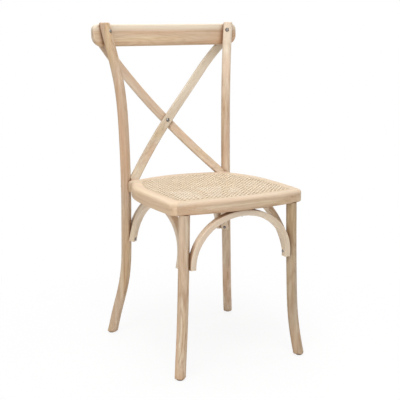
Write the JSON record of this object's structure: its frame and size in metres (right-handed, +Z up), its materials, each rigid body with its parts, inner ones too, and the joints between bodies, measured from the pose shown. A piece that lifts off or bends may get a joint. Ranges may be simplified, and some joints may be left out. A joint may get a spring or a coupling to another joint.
{
  "type": "cross-back dining chair",
  "caption": "Bentwood dining chair with a caned seat, crossed back slats under a straight crest rail, splayed legs and curved arch braces under the seat frame.",
  "frame": {"origin": "on the floor, in the middle of the chair's length and width", "axes": "+X to the right hand of someone facing the chair's front, +Y towards the back, +Z up"},
  "size_m": [0.452, 0.472, 0.884],
  "materials": {
    "wood": "pale limed wood, satin",
    "cane": "split cane weave, satin",
    "reed": "round reed, satin",
    "dowel_wood": "bare beech, hidden in the joints",
    "steel": "dark burnished steel",
    "glide_plastic": "matt brown"
  },
  "bodies": {
    "root": {"arch_end_screws": "steel", "arch_top_screws": "steel", "barrel_nuts": "steel", "cane_panel": "cane", "cane_spline": "reed", "crest_rail": "wood", "crest_screws": "steel", "cross_bolt": "steel", "cross_nut": "steel", "cross_slat_front": "wood", "cross_slat_rear": "wood", "foot_glides": "glide_plastic", "front_arch": "wood", "front_leg_left": "wood", "front_leg_right": "wood", "left_arch": "wood", "post_bolts": "steel", "rear_arch": "wood", "rear_post_left": "wood", "rear_post_right": "wood", "right_arch": "wood", "seat_back_rail": "wood", "seat_dowels": "dowel_wood", "seat_front_rail": "wood", "seat_left_rail": "wood", "seat_right_rail": "wood", "slat_screws": "steel"}
  },
  "joints": []
}
